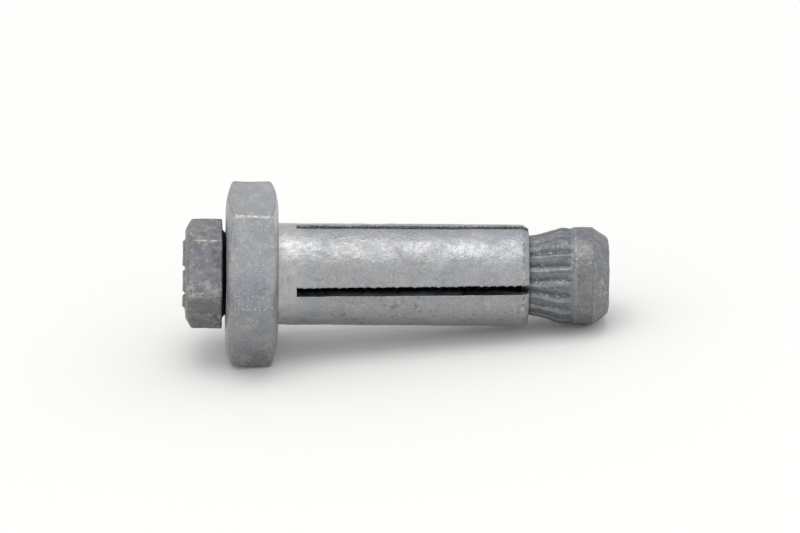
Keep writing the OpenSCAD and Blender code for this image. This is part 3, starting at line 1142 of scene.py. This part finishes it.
class Finish:
    """A material while it is made: its nodes, its shader, its coordinates and its colour so far."""

    def __init__(self, name, tilt=0.0):
        """Starts a material on object coordinates that are turned about Y by a tilt."""
        self.material = bpy.data.materials.new(name)
        self.material.use_nodes = True
        self.tree = self.material.node_tree
        self.shader = self.tree.nodes["Principled BSDF"]
        place = self.node("TexCoord").outputs["Object"]
        self.place = self.node("Mapping", Vector=place, Rotation=(0.0, tilt, 0.0)).outputs["Vector"]
        self.tone = None

    def node(self, kind, settings=None, **sockets):
        """Adds a shader node; a socket takes a value or another node's output."""
        made = self.tree.nodes.new("ShaderNode" + kind)
        for name, value in (settings or {}).items():
            setattr(made, name, value)
        for name, value in sockets.items():
            self.fill(made.inputs[name.replace("_", " ")], value)
        return made

    def fill(self, socket, value):
        """Links an output to a socket, or sets the socket's own value."""
        if isinstance(value, NodeSocket):
            self.tree.links.new(value, socket)
        else:
            socket.default_value = value

    def blend(self, share, first, second, way="MIX"):
        """First colour turning into the second by a share, or another way of mixing the two."""
        made = self.node("Mix", {"data_type": "RGBA", "blend_type": way})
        self.fill(made.inputs[MIX_SHARE], share)
        self.fill(made.inputs[MIX_FIRST], first)
        self.fill(made.inputs[MIX_SECOND], second)
        return made.outputs[MIX_RESULT]

    def reckon(self, operation, *values):
        """One step of reckoning with values or outputs."""
        made = self.node("Math", {"operation": operation})
        for socket, value in zip(made.inputs, values):
            self.fill(socket, value)
        return made.outputs[0]

    def times(self, first, second):
        """First value times the second."""
        return self.reckon("MULTIPLY", first, second)

    def plus(self, first, second):
        """First value plus the second."""
        return self.reckon("ADD", first, second)

    def spans(self, value, low, high, to_low=0.0, to_high=1.0):
        """A value's span low to high carried over to another span, and held at its ends."""
        made = self.node("MapRange", Value=value, From_Min=low, From_Max=high)
        self.fill(made.inputs["To Min"], to_low)
        self.fill(made.inputs["To Max"], to_high)
        return made.outputs["Result"]

    def between(self, share, first, second):
        """First value turning into the second by a share."""
        return self.spans(share, 0.0, 1.0, first, second)

    def share_of(self, name):
        """A value that the mesh keeps for each point."""
        return self.node("Attribute", {"attribute_name": name}).outputs["Fac"]

    def noise(self, size, detail=3.0, rough=0.55):
        """Cloudy noise whose features are about one size wide."""
        made = self.node("TexNoise", Vector=self.place, Scale=1 / size, Detail=detail, Roughness=rough)
        return made.outputs["Fac"]

    def specks(self, size, over, patches):
        """Small spots where noise stands over a share, gathered into patches of another size."""
        spot = self.spans(self.noise(size, detail=1.0, rough=0.5), over, over + SPECK_RISE)
        return self.times(spot, self.spans(self.noise(patches, detail=2.0), *SPECK_PATCHES))

    def broken(self, mask, size, over):
        """A mask that noise breaks up into spots of one size; a higher share to stand over leaves fewer."""
        spots = self.spans(self.noise(size, detail=2.0), over - BREAK_UNDER, over + BREAK_OVER)
        return self.times(mask, spots)

    def beyond(self, start, end):
        """Share of the way along the axis from start to end, held at 0 before and 1 behind."""
        along = self.node("SeparateXYZ", Vector=self.place).outputs["X"]
        return self.spans(along, start, end)

    def ring_line(self, middle, width):
        """A thin line round the axis: full at one place, and gone one width to either side."""
        before = self.beyond(middle - width, middle)
        return self.times(before, self.beyond(middle + width, middle))

    def stain(self, mask, strength, colour):
        """Lays a colour of some strength over the colour so far, where a mask stands."""
        self.tone = self.blend(self.times(mask, strength), self.tone, opaque(colour))

    def shade(self, level):
        """Multiplies the colour so far by a level."""
        self.tone = self.blend(1.0, self.tone, level, way="MULTIPLY")

    def lay_zinc(self, sizes, cloud_size, grain=0.14):
        """Starts with dull zinc: pale and dark clouds, warm and cool patches and a fine crystal grain."""
        cloud = self.spans(self.noise(cloud_size, detail=5.0, rough=0.62), 0.32, 0.68)
        self.tone = self.blend(cloud, opaque(sizes.dark), opaque(sizes.pale))
        patches = self.noise(PATCH_WIDTH * cloud_size)
        self.stain(self.spans(patches, 0.5, 0.64), PATCH_STRENGTH, sizes.warm)
        self.stain(self.spans(patches, 0.48, 0.34), PATCH_STRENGTH, sizes.cool)
        crystals = self.noise(GRAIN, detail=2.0, rough=0.6)
        self.shade(self.spans(crystals, 0.28, 0.72, 1 - grain, 1 + grain))

    def raise_zinc(self, dent, depth, share=None):
        """Raises the surface by dents of one size with the crystal grain on them, which a share lowers."""
        grain = self.times(self.noise(GRAIN, detail=1.0, rough=0.5), GRAIN_HEIGHT)
        height = self.plus(grain, self.noise(dent, detail=2.0, rough=0.5))
        if share is not None:
            height = self.times(height, share)
        bump = self.node("Bump", Height=height, Strength=1.0, Distance=depth)
        self.fill(self.shader.inputs["Normal"], bump.outputs["Normal"])

    def make_metal(self, gloss, metal=1.0):
        """Gives the shader the colour so far, a roughness and a share of metal, which dirt lowers."""
        self.fill(self.shader.inputs["Base Color"], self.tone)
        self.fill(self.shader.inputs["Roughness"], gloss)
        self.fill(self.shader.inputs["Metallic"], metal)


def coat_root(zinc):
    """Pale zinc on the sleeve beside the collar, partly painted light against the collar's shade, palest in the
    corner as painted light, and a bluish ring behind it.
    """
    off_collar = zinc.beyond(-COLLAR_BLUR, COLLAR_BLUR)
    root = zinc.times(off_collar, zinc.beyond(4.3 * MM, 1.9 * MM))
    uneven_root = zinc.spans(zinc.noise(1.5 * MM, detail=4.0, rough=0.6), 0.36, 0.62, 0.45, 1.1)
    root = zinc.times(root, uneven_root)
    # Partly painted light: the root painted paler against the collar's shade
    zinc.stain(root, 0.58, ROOT_ZINC_AND_FILL_LIGHT)
    corner = zinc.times(off_collar, zinc.beyond(1.6 * MM, 0.2 * MM))
    # Painted light: the corner beside the collar painted palest
    zinc.stain(corner, 0.35, CORNER_FILL_LIGHT)
    blue_ring = zinc.ring_line(4.1 * MM, 1.1 * MM)
    zinc.stain(zinc.broken(blue_ring, size=2.4 * MM, over=0.44), 0.4, BLUE_ZINC)
    return root


def draw_lines(zinc, collar, dull_and_shade):
    """Fine lines of drawn bar along each second flat of the collar: a sine of the distance across the flat,
    bent a little by noise."""
    bend = zinc.times(zinc.noise(BEND_SIZE), BEND_REACH)
    phase = zinc.plus(zinc.times(zinc.share_of("across"), 2 * math.pi / LINE_STEP), bend)
    lines = zinc.spans(zinc.reckon("SINE", phase), -1.0, 1.0, *LINE_LEVELS)
    share = zinc.spans(zinc.share_of("drawn"), 0.3, 0.8)
    share = zinc.times(share, zinc.spans(zinc.noise(2.2 * MM), 0.35, 0.6, 0.25, 1.0))
    share = zinc.times(share, zinc.between(dull_and_shade, 1.0, 0.2))
    lined = zinc.blend(1.0, zinc.tone, lines, way="MULTIPLY")
    zinc.tone = zinc.blend(zinc.times(collar, share), zinc.tone, lined)


def coat_collar(zinc, collar):
    """Lines of drawn bar, dull places with pale and slate specks, darker as painted shade on the lower face,
    frost, and corner chamfers painted pale as painted light.
    """
    dull_and_shade = zinc.share_of("dull_and_shade")
    draw_lines(zinc, collar, dull_and_shade)
    zinc.shade(zinc.between(collar, 1.0, 0.975))
    # Darker where dull; on the collar's lower face this is painted shade
    zinc.shade(zinc.between(dull_and_shade, 1.0, 0.76))
    pale_specks = zinc.specks(size=0.55 * MM, over=0.55, patches=3 * MM)
    zinc.stain(zinc.times(dull_and_shade, pale_specks), 0.4, PALE_ZINC)
    slate_specks = zinc.specks(size=0.7 * MM, over=0.53, patches=2.6 * MM)
    zinc.stain(zinc.times(dull_and_shade, slate_specks), 0.3, SLATE)
    frost = zinc.specks(size=1.3 * MM, over=0.56, patches=5 * MM)
    zinc.stain(zinc.times(collar, frost), 0.3, PALE_ZINC)
    # Painted light: the corner chamfers beside the bearing face painted pale, as if lit
    zinc.stain(zinc.share_of("chamfer"), 0.7, PALE_ZINC)


def stain_legs(zinc, sizes, collar):
    """Brown stains, most on the lower legs, dark and bright specks, worn edges and a line at the mouth."""
    stains = zinc.specks(size=0.8 * MM, over=0.59, patches=4 * MM)
    stains = zinc.times(zinc.between(collar, 1.0, 0.15), stains)
    stains = zinc.times(stains, zinc.between(zinc.share_of("stained"), 0.35, 1.0))
    zinc.stain(stains, 0.42, BROWN)
    zinc.stain(zinc.specks(size=0.36 * MM, over=0.65, patches=4 * MM), 0.4, BROWN)
    zinc.stain(zinc.specks(size=0.3 * MM, over=0.62, patches=2 * MM), 0.45, WORN)
    worn = zinc.spans(zinc.share_of("worn"), *WORN_SPAN)
    zinc.stain(zinc.broken(worn, size=0.5 * MM, over=0.53), 0.7, WORN)
    edge = zinc.spans(zinc.share_of("edge"), *DIRT_SPAN)
    zinc.stain(zinc.broken(edge, size=0.3 * MM, over=0.53), 0.65, BROWN)
    chamfer = zinc.ring_line(MOUTH - sizes.chamfer_length, 0.2 * MM)
    zinc.stain(zinc.broken(chamfer, size=1.2 * MM, over=0.41), 0.75, BROWN)
    zinc.stain(zinc.broken(chamfer, size=0.4 * MM, over=0.51), 0.85, WORN)


def coat_walls(zinc, sawn):
    """Bluish slot walls and a dark bore, both painted shade, and dirt along the sawn edges."""
    depth = zinc.share_of("inner")
    # Painted shade: slot walls tinted bluish by their depth
    zinc.stain(zinc.spans(depth, 0.02, 0.2), 1.0, SHADED_WALL)
    zinc.stain(zinc.broken(sawn, size=0.26 * MM, over=0.47), 0.85, SAW_DIRT)
    # Painted shade: the deep wall and the bore painted near black
    zinc.stain(zinc.spans(depth, 0.5, 0.95), 1.0, SHADED_BORE)


def sleeve_finish(sizes):
    """Zinc on the sleeve: a pale root, partly painted light, a duller collar with painted light and shade, stained
    and worn legs, and slot walls and bore with painted shade and dirt.
    """
    zinc = Finish("sleeve_zinc", AXIS_TILT)
    zinc.lay_zinc(sizes, 3.2 * MM)
    collar = zinc.beyond(COLLAR_BLUR, -COLLAR_BLUR)
    sawn = zinc.share_of("sawn")
    root = coat_root(zinc)
    coat_collar(zinc, collar)
    stain_legs(zinc, sizes, collar)
    coat_walls(zinc, sawn)
    gloss = zinc.plus(zinc.noise(0.8 * MM, detail=4.0, rough=0.65), zinc.noise(3.4 * MM, detail=2.0))
    gloss = zinc.spans(gloss, 0.76, 1.24, *LEG_GLOSS)
    gloss = zinc.between(root, gloss, zinc.spans(gloss, *LEG_GLOSS, *ROOT_GLOSS))
    gloss = zinc.between(collar, gloss, COLLAR_GLOSS)
    zinc.make_metal(gloss, zinc.between(sawn, 1.0, SAWN_METAL))
    zinc.raise_zinc(1.2 * MM, 0.11 * MM, zinc.between(collar, 1.0, 0.45))
    return zinc.material


def coat_flutes(zinc, ribs):
    """Slate flutes darkest at the bottom, partly painted shade, a frosted flank above each rib partly painted
    light, and a broken brown line below it.
    """
    zinc.stain(ribs, 0.35, COLD_GREY)
    # Partly painted shade: flutes painted slate towards their depth
    zinc.stain(zinc.spans(zinc.share_of("valley"), 0.15, 0.7), 0.95, SLATE)
    # Painted shade: the bottom of each flute painted darker
    zinc.stain(zinc.share_of("flute_shade"), 0.3, GRIME)
    # Partly painted light: the flank that faces the lamp painted paler
    zinc.stain(zinc.times(ribs, zinc.share_of("flank")), 0.48, FROST)
    foot = zinc.times(ribs, zinc.share_of("foot"))
    zinc.stain(zinc.broken(foot, size=1.1 * MM, over=0.43), 0.8, BROWN)


def coat_tail(zinc, tail):
    """A greyer tail with pale and bright specks, from the turn behind the band on."""
    behind = zinc.beyond(tail - 0.05 * MM, tail + 0.05 * MM)
    zinc.stain(behind, 0.38, TAIL_GREY)
    pale_specks = zinc.specks(size=0.6 * MM, over=0.54, patches=2.5 * MM)
    zinc.stain(zinc.times(behind, pale_specks), 0.36, CRUMB)
    bright_specks = zinc.specks(size=0.3 * MM, over=0.52, patches=1.2 * MM)
    zinc.stain(zinc.times(behind, bright_specks), 0.22, WORN)


def strew_crumbs(zinc, ribs):
    """Pale crumbs of zinc, most at the foot of the frosted flanks, and dark pits among them."""
    fine_crumbs = zinc.specks(size=0.3 * MM, over=0.58, patches=1.6 * MM)
    crumbs = zinc.plus(fine_crumbs, zinc.specks(size=0.5 * MM, over=0.6, patches=1.1 * MM))
    crumbed = zinc.times(ribs, zinc.spans(zinc.share_of("crumbed"), 0.0, 0.8, 0.3, 1.0))
    zinc.stain(zinc.times(crumbs, crumbed), 0.8, CRUMB)
    pits = zinc.specks(size=0.26 * MM, over=0.62, patches=2 * MM)
    zinc.stain(zinc.times(ribs, pits), 0.6, GRIME)


def draw_rings(zinc, shoulder, band, tail):
    """Lines round the cone: dirt at the tail's turn, rib ends painted slate as painted shade, a bluish step and a
    frosted ridge.
    """
    turned_edge = zinc.ring_line(tail - 0.05 * MM, 0.13 * MM)
    zinc.stain(zinc.broken(turned_edge, size=1.6 * MM, over=0.47), 0.5, GRIME)
    # Painted shade: the level rib ends, which face the lamp, painted darker
    zinc.stain(zinc.ring_line(shoulder - 0.5 * MM, 1.1 * MM), 0.32, SLATE)
    step = zinc.ring_line(shoulder + 0.25 * MM, 0.5 * MM)
    zinc.stain(step, 0.5, SHOULDER_BLUE)
    zinc.stain(zinc.broken(step, size=0.5 * MM, over=0.52), 0.45, FROST)
    ridge = zinc.ring_line(band + 0.05 * MM, 0.22 * MM)
    zinc.stain(zinc.broken(ridge, size=0.9 * MM, over=0.45), 0.6, FROST)


def cone_finish(sizes):
    """Zinc on the cone: coated flutes with painted shade and light, a grey tail, crumbs on the ribs, lines round
    it and a hole painted dark as shade.
    """
    zinc = Finish("cone_zinc", AXIS_TILT)
    _, shoulder, band, tail = cone_places(sizes)
    zinc.lay_zinc(sizes, 1.6 * MM, grain=0.24)
    ribs = zinc.beyond(shoulder, shoulder - 0.4 * MM)
    coat_flutes(zinc, ribs)
    coat_tail(zinc, tail)
    strew_crumbs(zinc, ribs)
    draw_rings(zinc, shoulder, band, tail)
    # Painted shade: the tapped hole painted near black
    zinc.stain(zinc.share_of("inner"), 1.0, SHADED_BORE)
    zinc.make_metal(zinc.spans(zinc.noise(0.6 * MM), 0.3, 0.7, *CONE_GLOSS))
    zinc.raise_zinc(0.7 * MM, 0.07 * MM)
    return zinc.material


def coat_head(zinc):
    """Olive places and painted shade on the head's lower face, grime and specks that are fewer on the crown, and
    worn edges.
    """
    zinc.stain(zinc.share_of("chamfer"), 0.6, OLIVE)
    # Painted shade: the head's lower face painted darker olive
    zinc.stain(zinc.share_of("dull_and_shade"), 0.35, SHADE_OLIVE)
    patchy = zinc.between(zinc.beyond(CROWN, CROWN + 0.7 * MM), 0.3, 1.0)
    grime = zinc.specks(size=1.3 * MM, over=0.52, patches=4 * MM)
    zinc.stain(zinc.times(patchy, grime), 0.4, GRIME)
    zinc.stain(zinc.broken(zinc.share_of("rubbed"), size=0.8 * MM, over=0.49), 0.42, PALE_ZINC)
    pale_specks = zinc.specks(size=0.9 * MM, over=0.58, patches=3 * MM)
    zinc.stain(zinc.times(patchy, pale_specks), 0.35, PALE_ZINC)
    bright_specks = zinc.specks(size=0.3 * MM, over=0.6, patches=1.4 * MM)
    zinc.stain(zinc.times(patchy, bright_specks), 0.45, WORN)
    zinc.stain(zinc.spans(zinc.share_of("raised"), 0.4, 1.0), 0.32, PALE_ZINC)
    worn = zinc.spans(zinc.share_of("worn"), *WORN_SPAN)
    zinc.stain(zinc.broken(worn, size=0.7 * MM, over=0.52), 0.45, WORN)
    edge = zinc.spans(zinc.share_of("edge"), *DIRT_SPAN)
    zinc.stain(zinc.broken(edge, size=0.5 * MM, over=0.52), 0.6, GRIME)


def bolt_finish(sizes):
    """Zinc on the bolt: a rough dark coat, mottled and grimy on the head, and a shank painted dark as painted
    shade.
    """
    zinc = Finish("bolt_zinc", AXIS_TILT)
    zinc.lay_zinc(sizes, 1.5 * MM)
    coat_head(zinc)
    seat = CROWN + sizes.head_height
    shank = zinc.beyond(seat - 1.1 * sizes.washer_height, seat - 0.9 * sizes.washer_height)
    # Painted shade: the shank and the lower washer face painted near black
    zinc.stain(shank, 1.0, SHADED_SHANK)
    zinc.make_metal(zinc.spans(zinc.noise(0.6 * MM), 0.3, 0.7, *BOLT_GLOSS))
    zinc.raise_zinc(0.8 * MM, 0.075 * MM)
    return zinc.material


def place_piece(mesh, material, node, body):
    """Puts a finished mesh into the scene, under the mesh's own name, in the place of its CAD node."""
    mesh.materials.append(material)
    piece = bpy.data.objects.new(mesh.name, mesh)
    bpy.context.scene.collection.objects.link(piece)
    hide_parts(node)
    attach(piece, body)


class BLINDBOLT_OT_hex_bolt(Operator):
    """Builds the hex bolt with its thread"""

    bl_idname = "blind_bolt.hex_bolt"
    bl_label = "Hex Bolt"

    def execute(self, context):
        sizes = context.scene.bolt_sizes
        mesh = hex_bolt_mesh(sizes)
        place_piece(mesh, bolt_finish(sizes), "hex_bolt", "bolt")
        return {"FINISHED"}


class BLINDBOLT_OT_slotted_sleeve(Operator):
    """Builds the slotted sleeve with its hex collar"""

    bl_idname = "blind_bolt.slotted_sleeve"
    bl_label = "Slotted Sleeve"

    def execute(self, context):
        sizes = context.scene.sleeve_sizes
        mesh = slotted_sleeve_mesh(sizes)
        place_piece(mesh, sleeve_finish(sizes), "slotted_sleeve", "sleeve")
        return {"FINISHED"}


class BLINDBOLT_OT_ribbed_cone(Operator):
    """Builds the ribbed cone with its tapped hole"""

    bl_idname = "blind_bolt.ribbed_cone"
    bl_label = "Ribbed Cone"

    def execute(self, context):
        sizes = context.scene.cone_sizes
        mesh = cone_mesh(sizes, context.scene.bolt_sizes, context.scene.sleeve_sizes.slot_turn)
        place_piece(mesh, cone_finish(sizes), "ribbed_cone", "cone")
        return {"FINISHED"}


# Stage

# Ground that the part lies on, and the corners of a square floor
GROUND = CAD_BOX[0].z
FLOOR_CORNERS = ((-1, -1), (1, -1), (1, 1), (-1, 1))
# Size and darkest level of the faint clouds in the floor's paper, its roughness and its slight gloss
PAPER_CLOUD = 60 * MM
PAPER_SHADE = 0.99
PAPER_ROUGHNESS = 0.9
PAPER_GLOSS = 0.1


def lay_floor(sizes):
    """A pale floor under the part's lowest point."""
    half = sizes.floor_width / 2
    corners = [(half * across, half * deep, GROUND) for across, deep in FLOOR_CORNERS]
    mesh = bpy.data.meshes.new("floor")
    mesh.from_pydata(corners, [], [range(len(corners))])
    paper = Finish("floor_paper")
    tone = Vector(sizes.floor_tone)
    shade = paper.blend(paper.noise(PAPER_CLOUD), opaque(tone * PAPER_SHADE), opaque(tone))
    paper.fill(paper.shader.inputs["Base Color"], shade)
    paper.fill(paper.shader.inputs["Roughness"], PAPER_ROUGHNESS)
    paper.fill(paper.shader.inputs["Specular IOR Level"], PAPER_GLOSS)
    mesh.materials.append(paper.material)
    floor = bpy.data.objects.new("floor", mesh)
    bpy.context.scene.collection.objects.link(floor)


def light_room(sizes):
    """Even light from all round and one soft lamp overhead."""
    world = bpy.data.worlds.new("room")
    world.use_nodes = True
    background = world.node_tree.nodes["Background"]
    background.inputs["Color"].default_value = opaque(sizes.sky_tone)
    background.inputs["Strength"].default_value = sizes.sky_level
    bpy.context.scene.world = world
    light = bpy.data.lights.new("soft_lamp", "AREA")
    light.shape = "SQUARE"
    light.size = sizes.lamp_width
    light.energy = sizes.lamp_power
    light.color = sizes.lamp_tone
    lamp = bpy.data.objects.new("soft_lamp", light)
    lamp.location = (sizes.lamp_along, -sizes.lamp_forward, GROUND + sizes.lamp_height)
    bpy.context.scene.collection.objects.link(lamp)


def set_camera(sizes):
    """A long lens that looks down on the part from its side, a little from the head's end."""
    swing = Vector(-AXIS) * math.sin(sizes.view_swing)
    across = Vector(-LEVEL) * math.cos(sizes.view_rise) + Vector(RISE) * math.sin(sizes.view_rise)
    back = (across * math.cos(sizes.view_swing) + swing).normalized()
    level = (Vector(AXIS) - back * Vector(AXIS).dot(back)).normalized()
    upright = back.cross(level)
    right = level * math.cos(sizes.view_roll) + upright * math.sin(sizes.view_roll)
    up = back.cross(right)
    camera = bpy.data.cameras.new("camera")
    camera.lens = sizes.lens
    holder = bpy.data.objects.new("camera", camera)
    aim = right * sizes.view_right + up * sizes.view_up
    turned = Matrix((right, up, back)).transposed().to_4x4()
    holder.matrix_world = Matrix.Translation(aim + back * sizes.view_distance) @ turned
    bpy.context.scene.collection.objects.link(holder)
    bpy.context.scene.camera = holder


class BLINDBOLT_OT_stage(Operator):
    """Lays the floor and sets the light and the camera"""

    bl_idname = "blind_bolt.stage"
    bl_label = "Stage"

    def execute(self, context):
        sizes = context.scene.stage_sizes
        lay_floor(sizes)
        light_room(sizes)
        set_camera(sizes)
        context.scene.view_settings.view_transform = "Standard"
        return {"FINISHED"}


class BLINDBOLT_PT_panel(Panel):
    """Lists the steps that build the part"""

    bl_idname = "BLINDBOLT_PT_panel"
    bl_label = "Blind Bolt"
    bl_space_type = "VIEW_3D"
    bl_region_type = "UI"
    bl_category = "Blind Bolt"

    def draw(self, context):
        for operator in OPERATORS:
            self.layout.operator(operator.bl_idname)
        for name in SETTINGS:
            settings = getattr(context.scene, name)
            column = self.layout.column(heading=settings.bl_rna.description)
            for key in settings.__annotations__:
                column.prop(settings, key)


SETTINGS = {
    "bolt_sizes": BoltSizes,
    "sleeve_sizes": SleeveSizes,
    "cone_sizes": ConeSizes,
    "stage_sizes": StageSizes,
}
OPERATORS = (
    BLINDBOLT_OT_hex_bolt,
    BLINDBOLT_OT_slotted_sleeve,
    BLINDBOLT_OT_ribbed_cone,
    BLINDBOLT_OT_stage,
)
CLASSES = (*SETTINGS.values(), *OPERATORS, BLINDBOLT_PT_panel)


def register():
    """Makes the settings, the steps and the panel known to Blender."""
    for group in CLASSES:
        bpy.utils.register_class(group)
    for name, group in SETTINGS.items():
        setattr(bpy.types.Scene, name, PointerProperty(type=group))


def unregister():
    """Takes them out again."""
    for name in SETTINGS:
        delattr(bpy.types.Scene, name)
    for group in reversed(CLASSES):
        bpy.utils.unregister_class(group)


def main():
    """Builds the pieces and the stage."""
    register()
    bpy.ops.blind_bolt.hex_bolt()
    bpy.ops.blind_bolt.slotted_sleeve()
    bpy.ops.blind_bolt.ribbed_cone()
    bpy.ops.blind_bolt.stage()


if __name__ == "__main__":
    main()
